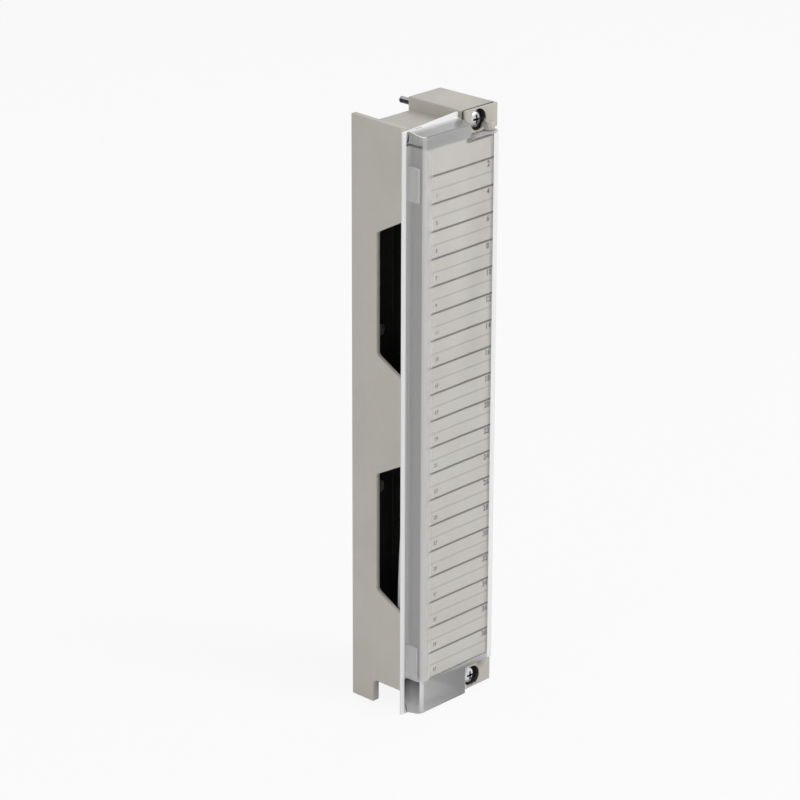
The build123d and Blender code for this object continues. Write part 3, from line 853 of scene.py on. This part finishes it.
@dataclass
class ClearDoor:
    """The hinged clear cover, with the zones of its haze and the highlights and shade painted into their
    grey.
    """

    finish: Material
    edge: float = 0.18 * MM
    side_x: float = -28.6 * MM
    rim_front: float = -22.1 * MM
    strip_right: float = -29.9 * MM
    notch_x: float = -7.0 * MM
    front_left: float = -23.2 * MM
    corner_end_x: float = -26.2 * MM
    front_right: float = 3.4 * MM
    corner_end: float = -26.0 * MM
    rim_height: float = 2.5 * MM
    pad_step: float = 0.05 * MM
    top_band: float = 3.0 * MM
    side_depth: float = 1.0 * MM
    crest: float = 0.2
    shade_end: float = -94.0 * MM
    stripe_low: float = 92.2 * MM
    stripe_high: float = 93.0 * MM
    top_blend: float = -24.4 * MM
    side_blend: float = -23.4 * MM
    side_back: float = -22.2 * MM
    top_fade: float = 2.4 * MM
    faces_aside: float = 0.75
    faces_out: float = 0.99
    slant: float = 0.1
    # Each zone's grey is painted light: highlights on the flange, the corners and the top, and painted shade
    # on the stripe and below the card.
    front: Haze = Haze(0.06, 250)
    front_edge: Haze = Haze(0.60, 224)
    bare_front: Haze = Haze(0.78, 182)
    bare_right: Haze = Haze(0.86, 206)
    low_front: Haze = Haze(0.88, 126)
    low_front_left: Haze = Haze(0.80, 176)
    side: Haze = Haze(0.68, 182)
    side_rear: Haze = Haze(0.82, 206)
    pad: Haze = Haze(0.84, 200)
    stripe: Haze = Haze(0.85, 112)
    low_side_top: Haze = Haze(0.95, 66)
    low_side_end: Haze = Haze(0.85, 212)
    top: Haze = Haze(0.78, 178)
    top_back: Haze = Haze(0.95, 246)
    top_right: Haze = Haze(0.90, 208)
    left_corner: Haze = Haze(0.62, 226)
    right_corner: Haze = Haze(0.96, 252)
    flange: Haze = Haze(1.0, 254)
    within: Haze = Haze(0.05, 248)

    def __post_init__(self) -> None:
        """Read the heights of the door's ends and of the card's."""
        self.low, self.high = [corner.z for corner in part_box("door")]
        self.card_low, self.card_high = [corner.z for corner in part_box("label_card")]

    def build(self) -> None:
        """Build the door and note the haze and the painted grey at each face corner."""
        across, inward, upward = 0, 1, 2
        levels = (self.card_low, self.card_high, self.shade_end, self.stripe_low, self.stripe_high)
        cuts = tuple((upward, z) for z in levels)
        cuts += tuple((inward, y) for y in (self.top_blend, self.side_blend))
        cuts += tuple((across, x) for x in (self.strip_right, self.front_left, self.front_right))
        mesh = SoftMoulding("door", Body.COVER, Slot.DOOR, self.finish, self.edge, cuts=cuts).build()
        zones = [self.zone_of(face, mesh.vertices[at].co) for face in mesh.polygons for at in face.vertices]
        note(mesh, Mark.HAZE, [zone.share for zone in zones])
        note(mesh, Mark.TONE, [linear((zone.grey,) * 3)[0] for zone in zones])

    def zone_of(self, face: Face, corner: Vector) -> Haze:
        """Say how hazy one corner of a face is, and its painted grey of highlight or shade.

        Args:
            face: A face of the door.
            corner: Place of one of its corners.

        Returns:
            The haze and painted grey there.
        """
        place, way = face.center, face.normal
        in_rim = place.y > self.rim_front
        if in_rim and (place.x < self.strip_right or place.z > self.high - self.rim_height):
            return self.flange
        if place.x < self.side_x - self.pad_step and not in_rim:
            return self.pad
        if place.z > self.card_high and way.z > self.crest and way.x < -self.crest:
            return self.flange
        if way.y < -self.slant and -self.faces_aside < way.x < -self.slant and place.y < self.corner_end:
            return self.left_corner
        if way.x > self.slant and place.x > self.front_right:
            return self.right_corner
        if way.z > self.faces_aside and place.z > self.card_high - self.top_band:
            if place.x > self.notch_x:
                return self.top_right
            return self.top.towards(self.top_back, (corner.y - self.top_blend) / self.top_fade)
        if place.x < self.side_x + self.side_depth and (way.x < -self.faces_aside or in_rim):
            return self.side_at(place.z, corner)
        if way.y < -self.faces_out:
            return self.front_at(place, corner)
        return self.within

    def side_at(self, middle: float, corner: Vector) -> Haze:
        """Haze of the side wall, with painted grey: a painted highlight toward its rim, a painted dark
        stripe, and painted shade just below the card.

        Args:
            middle: Height of the face's centre.
            corner: Place of the corner.

        Returns:
            The haze and painted grey there.
        """
        if self.stripe_low < middle < self.stripe_high:
            return self.stripe
        if middle > self.card_low:
            rearward = (corner.y - self.side_blend) / (self.side_back - self.side_blend)
            return self.side.towards(self.side_rear, rearward)
        lowered = (self.card_low - corner.z) / (self.card_low - self.low)
        return self.low_side_top.towards(self.low_side_end, lowered)

    def front_at(self, place: Vector, corner: Vector) -> Haze:
        """Haze of the front wall, which is clear only in front of the card, with painted shade below the card
        and painted highlights at its corners.

        Args:
            place: The face's centre.
            corner: Place of the corner.

        Returns:
            The haze and painted grey there.
        """
        if place.x < self.notch_x and place.z > self.card_high:
            return self.bare_front
        if place.x > self.front_right:
            return self.right_corner
        if place.z < self.card_low:
            if corner.x > self.notch_x + self.edge * 2:
                return self.bare_right
            leftward = (self.notch_x - corner.x) / (self.notch_x - self.side_x)
            return self.low_front.towards(self.low_front_left, leftward)
        inward = (corner.x - self.corner_end_x) / (self.front_left - self.corner_end_x)
        return self.front_edge.towards(self.front, inward)


@dataclass
class Housing:
    """The housing and its end caps, with painted shade inside the screw wells and the caps' grooves."""

    finish: Material
    housing_edge: float = 0.30 * MM
    cap_edge: float = 0.15 * MM
    block_front: float = -22.8 * MM
    well_radius: float = 3.6 * MM
    well_front: float = -23.6 * MM
    well_back: float = -21.0 * MM
    groove_front: float = -22.82 * MM
    groove_back: float = -22.28 * MM
    groove_height: float = 98.3 * MM
    groove_floor: float = 97.0 * MM
    # Shares of painted shade in the caps' grooves and in the screw wells; the groove share is also the least
    # vertical lean of a groove face's normal.
    groove_tone: float = 0.6
    well_tone: float = 0.96

    def build(self) -> None:
        """Build the housing and both caps."""
        axes = [sum(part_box(f"mounting_screw_{end}"), Vector()).z / 2 for end in ("top", "bottom")]
        for node in ("housing", "end_cap_top", "end_cap_bottom"):
            moulding = SoftMoulding(node, Body.BLOCK, Slot.HOUSING, self.finish, self.cap_edge)
            if node == "housing":
                moulding.edge = self.housing_edge
                moulding.covered = self.block_front
            note_recesses(moulding.build(), lambda face: self.darkness(face, axes))

    def darkness(self, face: Face, axes: list[float]) -> float:
        """Say how much painted shade a face gets.

        Args:
            face: A face of the housing or a cap.
            axes: Heights of the screws' axes.

        Returns:
            The share of the painted shade colour.
        """
        place = face.center
        off = min(math.hypot(place.x, place.z - axis) for axis in axes)
        # Painted shade deep in a screw well and in a cap's groove.
        if off < self.well_radius and self.well_front < place.y < self.well_back:
            return self.well_tone
        in_groove = self.groove_front < place.y < self.groove_back
        sunk = self.groove_floor < abs(place.z) < self.groove_height
        upright = abs(face.normal.z) > self.groove_tone
        return self.groove_tone if in_groove and sunk and upright else 0.0


@dataclass
class Mouldings:
    """Every moulded piece."""

    finishes: Finishes
    core_edge: float = 0.12 * MM

    def build(self) -> None:
        """Build every moulding and dress the nodes that keep their shape."""
        Housing(self.finishes.housing.material()).build()
        black = self.finishes.core.material()
        SoftMoulding("terminal_core", Body.BLOCK, Slot.CORE, black, self.core_edge).build()
        ClearDoor(self.finishes.door.material()).build()
        paint("socket_carrier", self.finishes.carrier.material())
        retainer = self.finishes.retainer.material()
        for ring in ("screw_retainer_top", "screw_retainer_bottom"):
            paint(ring, retainer)


def lathe(profile: Outline, sides: int) -> Form:
    """Turn an outline about the y axis into a closed form.

    Args:
        profile: (radius, y) points from the front pole to the back pole.
        sides: Steps round the axis.

    Returns:
        The turned form.
    """
    work = bmesh.new()
    rings = []
    turn = [2 * math.pi * step / sides for step in range(sides)]
    for radius, y in profile:
        rings.append([work.verts.new((radius * math.cos(a), y, radius * math.sin(a))) for a in turn])
    for near, far in zip(rings, rings[1:]):
        for step in range(sides):
            after = (step + 1) % sides
            work.faces.new((near[step], near[after], far[after], far[step]))
    work.faces.new(rings[0])
    work.faces.new(rings[-1])
    bmesh.ops.recalc_face_normals(work, faces=work.faces)
    return work


def as_object(name: str, work: Form) -> Object:
    """Make an object of a form and free the form.

    Args:
        name: The object's name.
        work: The form.

    Returns:
        The object.
    """
    mesh = bpy.data.meshes.new(name)
    work.to_mesh(mesh)
    work.free()
    return new_object(name, mesh)


def cut_recess(piece: Object, span: float, slot: float, depth: float, front: float,
               taper: float = 0.45) -> None:
    """Cut a cross recess of two tapered wings into a screw head.

    Args:
        piece: The head.
        span: Length over two wings at the front.
        slot: Width of a wing.
        depth: Depth of the recess.
        front: y of the surface that is cut.
        taper: Size of a wing's floor as a share of its front.
    """
    work = bmesh.new()
    for turn in (0.0, math.pi / 2):
        made = bmesh.ops.create_cube(work, size=1.0)["verts"]
        bmesh.ops.scale(work, vec=(span, depth * 2, slot), verts=made)
        for vert in made:
            if vert.co.y > 0:
                vert.co.x *= taper
                vert.co.z *= taper
        bmesh.ops.translate(work, vec=(0, front, 0), verts=made)
        bmesh.ops.rotate(work, matrix=Matrix.Rotation(turn, 3, "Y"), verts=made)
    bmesh.ops.recalc_face_normals(work, faces=work.faces)
    tool = as_object("cutter", work)
    modify(piece, "BOOLEAN", operation="DIFFERENCE", solver="EXACT", use_self=True, object=tool)
    bpy.data.objects.remove(tool)


def smooth(mesh: Mesh, angle: float = math.radians(32)) -> None:
    """Shade a mesh smoothly, apart from edges sharper than an angle."""
    mesh.shade_smooth()
    mesh.set_sharp_from_angle(angle=angle)


def joined(name: str, pieces: list[Object]) -> Object:
    """Join several objects into one mesh.

    Args:
        name: The name of the result.
        pieces: The objects, whose places are in their meshes.

    Returns:
        One object with all their faces, in the first one's material.
    """
    work = bmesh.new()
    for piece in pieces:
        work.from_mesh(piece.data)
    whole = as_object(name, work)
    coat(whole.data, pieces[0].data.materials[0])
    for piece in pieces:
        bpy.data.objects.remove(piece)
    return whole


@dataclass
class MountingScrew:
    """Captive cross-head screw with a waisted shank, a thread and a long dog point."""

    node: str
    body: Body
    head_height: float = 2.3 * MM
    crown_rise: float = 1.0 * MM
    head_flare: float = 0.25 * MM
    crown_share: float = 0.62
    crown_start: float = 0.18
    crown_sweep: float = 0.82
    crown_steps: int = 7
    shank_radius: float = 1.5 * MM
    neck_radius: float = 1.1 * MM
    neck_length: float = 6.0 * MM
    neck_end: float = -3.0 * MM
    tip_radius: float = 1.1 * MM
    tip_length: float = 4.5 * MM
    break_edge: float = 0.15 * MM
    thread_pitch: float = 0.5 * MM
    thread_ridge: float = 0.19 * MM
    root_ridges: float = 1.5
    recess_span: float = 4.1 * MM
    recess_slot: float = 1.0 * MM
    recess_depth: float = 1.6 * MM
    recess_wall: float = 0.3
    # Painted shade: a deep share in the cross recess and on the underside of the point, which faces down past
    # the under limit; the point's top gets a lesser darkening.
    under: float = 0.55
    oiled: float = 0.95
    worn: float = 0.35
    sides: int = 48

    def build(self, finish: Material, threads: ThreadTree) -> None:
        """Build the screw where its node is.

        Args:
            finish: The screw's material.
            threads: The tree that winds threads.
        """
        low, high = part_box(self.node)
        z = (low.z + high.z) / 2
        front = low.y - self.crown_rise
        outline = self.profile(front, high.y, (high.x - low.x) / 2 + self.head_flare)
        head = as_object("head", lathe(outline, self.sides))
        cut_recess(head, self.recess_span, self.recess_slot, self.recess_depth, front)
        head.data.transform(Matrix.Translation((0, 0, z)))
        coat(head.data, finish)
        start = self.neck_end + self.thread_ridge
        length = high.y - self.tip_length - self.thread_ridge - start
        thread = new_object("thread", bpy.data.meshes.new("thread"))
        threads.run(
            thread,
            finish,
            Radius=self.shank_radius - self.thread_ridge,
            Turns=length / self.thread_pitch,
            Length=length,
            Start=(0.0, start, z),
            Ridge=self.thread_ridge,
        )
        piece = joined(f"{self.node}_turned", [head, thread])
        smooth(piece.data)
        note_recesses(piece.data, lambda face: self.darkness(face, front, high.y))
        dress(piece, self.body, Slot.SCREW, self.node)

    def darkness(self, face: Face, front: float, end: float) -> float:
        """Say how much painted shade a face gets: deep in the cross recess and on the underside of the point,
        less on the point's top.

        Args:
            face: A face of the screw.
            front: y of the crown.
            end: y of the tip.

        Returns:
            The share of the painted shade colour.
        """
        place, way = face.center, face.normal
        # Painted shade under the point, a lesser darkening on its top, and painted shade on the cross
        # recess's walls.
        if place.y > end - self.tip_length - self.thread_pitch:
            return self.oiled if way.z < self.under else self.worn
        crown = front + self.head_height * self.crown_share
        walled = place.y < crown and way.y > -self.recess_wall
        return self.oiled if walled and abs(place.x) < self.recess_span / 2 else 0.0

    def profile(self, front: float, end: float, head: float) -> Outline:
        """Outline from the head's crown to the tip.

        Args:
            front: y of the crown.
            end: y of the tip.
            head: The head's radius.

        Returns:
            (radius, y) points.
        """
        seat = front + self.head_height
        points = []
        for step in range(self.crown_steps):
            angle = (self.crown_start + self.crown_sweep * step / (self.crown_steps - 1)) * math.pi / 2
            rise = self.head_height * self.crown_share * (1 - math.cos(angle))
            points.append((head * math.sin(angle), front + rise))
        edge = self.break_edge
        root = self.shank_radius - self.root_ridges * self.thread_ridge
        neck_start = self.neck_end - self.neck_length
        point_start = end - self.tip_length
        return points + [
            (head, seat - edge),
            (head - edge, seat),
            (self.shank_radius, seat),
            (self.shank_radius, neck_start),
            (self.neck_radius, neck_start + edge),
            (self.neck_radius, self.neck_end),
            (root, self.neck_end + edge),
            (root, point_start - edge),
            (self.tip_radius, point_start),
            (self.tip_radius, end - edge),
            (self.tip_radius - edge, end),
        ]


@dataclass
class TerminalRows:
    """The two columns of terminal screws in the core."""

    finishes: Finishes
    rows: int = 20
    head_radius: float = 2.55 * MM
    head_height: float = 1.75 * MM
    crown_shares: tuple[float, ...] = (0.35, 0.62, 0.82, 0.95, 1.0)
    crown_height: float = 0.55
    crown_lip: float = 0.02 * MM
    shank_radius: float = 1.38 * MM
    slot_width: float = 0.8 * MM
    slot_depth: float = 1.0 * MM
    recess_span: float = 3.2 * MM
    sides: int = 28

    def build(self, zinc: Material, repeats: RepeatTree) -> None:
        """Build both columns of screws and dress the metal under them.

        Args:
            zinc: The screws' material.
            repeats: The tree that repeats pieces.
        """
        metals = {
            "contact_plates": self.finishes.contact.material(),
            "socket_springs": self.finishes.spring.material(),
            "wire_clamps": self.finishes.clamp.material(),
        }
        for side in ("left", "right"):
            self.column(f"terminal_screws_{side}", zinc, repeats)
            for name, metal in metals.items():
                paint(f"{name}_{side}", metal)
        paint("core_fixing_screws", zinc)

    def column(self, node: str, finish: Material, repeats: RepeatTree) -> None:
        """Build one column of screws where its node is.

        Args:
            node: The node that the column stands for.
            finish: The screws' material.
            repeats: The tree that repeats pieces.
        """
        low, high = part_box(node)
        screw = as_object(f"{node}_turned", lathe(self.profile(high.y - low.y), self.sides))
        cut_recess(screw, self.recess_span, self.slot_width, self.slot_depth, 0.0)
        smooth(screw.data)
        half = (high.x - low.x) / 2
        pitch = (high.z - low.z - 2 * half) / (self.rows - 1)
        start = ((low.x + high.x) / 2, low.y, high.z - half)
        repeats.run(screw, finish, Count=self.rows, Start=start, Step=(0.0, 0.0, -pitch))
        dress(screw, Body.BLOCK, Slot.SCREW, node)

    def profile(self, length: float) -> Outline:
        """Outline of a pan head and its shank, from the crown at y 0.

        Args:
            length: The screw's length.

        Returns:
            (radius, y) points.
        """
        points = [(self.crown_shares[0] * self.head_radius, 0.0)]
        for share in self.crown_shares:
            y = self.crown_height * self.head_height * (1 - math.sqrt(max(0.0, 1 - share**2)))
            points.append((self.head_radius * share, y + self.crown_lip))
        rest = (self.head_radius, self.head_height), (self.shank_radius, self.head_height)
        return [*points, *rest, (self.shank_radius, length)]


@dataclass
class LabelPrint:
    """Row lines, guide lines and terminal numbers on the folded card."""

    finishes: Finishes
    lines: int = 19
    first_line: float = 82.46 * MM
    pitch: float = 8.89 * MM
    left: float = -25.4 * MM
    right: float = 4.3 * MM
    line_width: float = 0.72 * MM
    guide_width: float = 0.60 * MM
    ink: float = 0.02 * MM
    left_height: float = 1.25 * MM
    right_height: float = 1.9 * MM
    number_left: float = -22.0 * MM
    number_right: float = 1.2 * MM
    left_drop: float = 7.1 * MM
    right_drop: float = 2.5 * MM
    letter_share: float = 0.72
    boldness: float = 0.045
    curve_steps: int = 2

    def build(self, repeats: RepeatTree) -> None:
        """Print the card.

        Args:
            repeats: The tree that repeats pieces.
        """
        paint("label_card", self.finishes.card.material())
        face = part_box("label_card")[0].y
        sets = (
            ("row_lines", self.line_width, self.first_line, self.finishes.line),
            ("guide_lines", self.guide_width, self.first_line - self.pitch / 2, self.finishes.guide),
        )
        for name, width, top, ink in sets:
            work = bmesh.new()
            made = bmesh.ops.create_cube(work, size=1.0)["verts"]
            bmesh.ops.scale(work, vec=(self.right - self.left, self.ink, width), verts=made)
            strip = as_object(name, work)
            start = ((self.left + self.right) / 2, face - self.ink / 2, top)
            step = (0.0, 0.0, -self.pitch)
            repeats.run(strip, ink.material(), Count=self.lines, Start=start, Step=step)
            dress(strip, Body.COVER, Slot.CARD)
        self.numbers(face)

    def numbers(self, face: float) -> None:
        """Print the terminal numbers, two for each row.

        Args:
            face: y of the card's face.
        """
        ink = self.finishes.number.material()
        printed = []
        for row in range(self.lines):
            top = self.first_line - row * self.pitch
            left = (self.number_left, face, top - self.left_drop)
            right = (self.number_right, face, top - self.right_drop)
            printed.append(self.number(2 * row + 1, left, self.left_height, ink))
            printed.append(self.number(2 * row + 2, right, self.right_height, ink))
        dress(joined("terminal_numbers", printed), Body.COVER, Slot.CARD)

    def number(self, value: int, place: Point, height: float, ink: Material) -> Object:
        """Make one number as a thin plate.

        Args:
            value: The number.
            place: Its lower left corner on the card.
            height: The height of its figures.
            ink: Its material.

        Returns:
            The number as an object.
        """
        text = bpy.data.curves.new("number", "FONT")
        text.body = str(value)
        text.size = height / self.letter_share
        text.offset = height * self.boldness
        text.extrude = self.ink / 2
        text.resolution_u = self.curve_steps
        holder = new_object("number", text)
        mesh = evaluated_mesh(holder)
        bpy.data.objects.remove(holder)
        mesh.transform(Matrix.Rotation(math.pi / 2, 4, "X"))
        mesh.transform(Matrix.Translation(Vector(place) - Vector((0, self.ink / 2, 0))))
        coat(mesh, ink)
        return new_object("number", mesh)


@dataclass(frozen=True)
class Lamp:
    """A square soft lamp: its name, its place, its side and its power in watts."""

    name: str
    place: Point
    size: float
    watts: float


@dataclass
class Studio:
    """Pale floor, soft lamps and the camera."""

    azimuth: float = -46.475
    elevation: float = 21.28
    distance: float = 1.03083
    target: Point = (-0.02088, -0.01110, 0.00469)
    roll: float = 0.18
    focal: float = 146.96
    sensor: float = 36.0
    clip: tuple[float, float] = (0.05, 100.0)
    floor_size: float = 30.0
    floor_colour: Colour = (238, 238, 238)
    floor_glow: float = 0.88
    sky: float = 0.40
    lamps: tuple[Lamp, ...] = (
        Lamp("key", (0.55, -1.25, 0.95), 0.9, 11.0),
        Lamp("top", (-0.15, 0.1, 1.5), 1.1, 4.2),
        Lamp("side", (-1.5, -0.1, 0.35), 1.0, 3.8),
    )

    def build(self) -> None:
        """Set up the whole studio."""
        self.floor()
        self.world()
        for lamp in self.lamps:
            self.hang(lamp)
        self.camera()
        bpy.context.scene.view_settings.view_transform = "Standard"

    def backdrop_rays(self, nodes: Nodes) -> Socket:
        """Tell rays that see the backdrop from those that light the object.

        Args:
            nodes: The tree that needs them.

        Returns:
            A socket that is 1 for seen, mirrored and transmitted rays.
        """
        path = nodes.node("ShaderNodeLightPath")
        seen = path.outputs["Is Camera Ray"]
        for other in ("Is Glossy Ray", "Is Transmission Ray"):
            either = nodes.node("ShaderNodeMath")
            either.operation = "MAXIMUM"
            nodes.link(seen, either.inputs[0])
            nodes.link(path.outputs[other], either.inputs[1])
            seen = either.outputs["Value"]
        return seen

    def floor(self) -> None:
        """Lay the floor at the block's lowest point, white but for the shadow."""
        half = self.floor_size / 2
        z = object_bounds()[0].z
        corners = [(-half, -half, z), (half, -half, z), (half, half, z), (-half, half, z)]
        mesh = bpy.data.meshes.new("studio_floor")
        mesh.from_pydata(corners, [], [(0, 1, 2, 3)])
        shader = Shader("studio floor")
        shader.set(Base_Color=linear(self.floor_colour), Roughness=0.9)
        share = shader.node("ShaderNodeMath")
        share.operation = "MULTIPLY"
        share.inputs[1].default_value = self.floor_glow
        shader.link(self.backdrop_rays(shader), share.inputs[0])
        glow = shader.node("ShaderNodeEmission")
        shader.overlay(share.outputs["Value"], glow.outputs["Emission"])
        coat(mesh, shader.material)
        new_object("studio_floor", mesh)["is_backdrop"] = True

    def world(self) -> None:
        """Light the block evenly from all round, with a white backdrop."""
        world = bpy.data.worlds.new("studio")
        world.use_nodes = True
        bpy.context.scene.world = world
        nodes = Nodes(world.node_tree)
        sky = nodes.tree.nodes["Background"]
        level = nodes.node("ShaderNodeMapRange", To_Min=self.sky, To_Max=1.0)
        nodes.link(self.backdrop_rays(nodes), level.inputs["Value"])
        nodes.link(level.outputs["Result"], sky.inputs["Strength"])
        sky.inputs["Color"].default_value = (1, 1, 1, 1)

    def hang(self, lamp: Lamp) -> None:
        """Hang one soft lamp that points at the block.

        Args:
            lamp: The lamp.
        """
        light = bpy.data.lights.new(lamp.name, "AREA")
        light.size = lamp.size
        light.energy = lamp.watts
        holder = new_object(lamp.name, light)
        holder.location = lamp.place
        way = Vector(self.target) - Vector(lamp.place)
        holder.rotation_euler = way.to_track_quat("-Z", "Y").to_euler()

    def camera(self) -> None:
        """Stand the camera where the photograph was taken from."""
        lens = bpy.data.cameras.new("view")
        lens.lens = self.focal
        lens.sensor_width = self.sensor
        lens.clip_start, lens.clip_end = self.clip
        azimuth, elevation = math.radians(self.azimuth), math.radians(self.elevation)
        level = math.cos(elevation)
        back = Vector((math.sin(azimuth) * level, -math.cos(azimuth) * level, math.sin(elevation)))
        turn = (-back).to_track_quat("-Z", "Y").to_matrix()
        eye = new_object("view", lens)
        eye.location = Vector(self.target) + back * self.distance
        eye.rotation_euler = (turn @ Matrix.Rotation(math.radians(self.roll), 3, "Z")).to_euler()
        bpy.context.scene.camera = eye


def main() -> None:
    """Build every piece in order."""
    logging.basicConfig(level=logging.INFO, format="%(message)s")
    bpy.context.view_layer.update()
    finishes = Finishes()
    repeats = RepeatTree("repeat along a line")
    threads = ThreadTree("screw thread")
    Studio().build()
    Mouldings(finishes).build()
    zinc = finishes.screw.material()
    TerminalRows(finishes).build(zinc, repeats)
    MountingScrew("mounting_screw_top", Body.UPPER_SCREW).build(zinc, threads)
    MountingScrew("mounting_screw_bottom", Body.LOWER_SCREW).build(zinc, threads)
    LabelPrint(finishes).build(repeats)


if __name__ == "__main__":
    main()
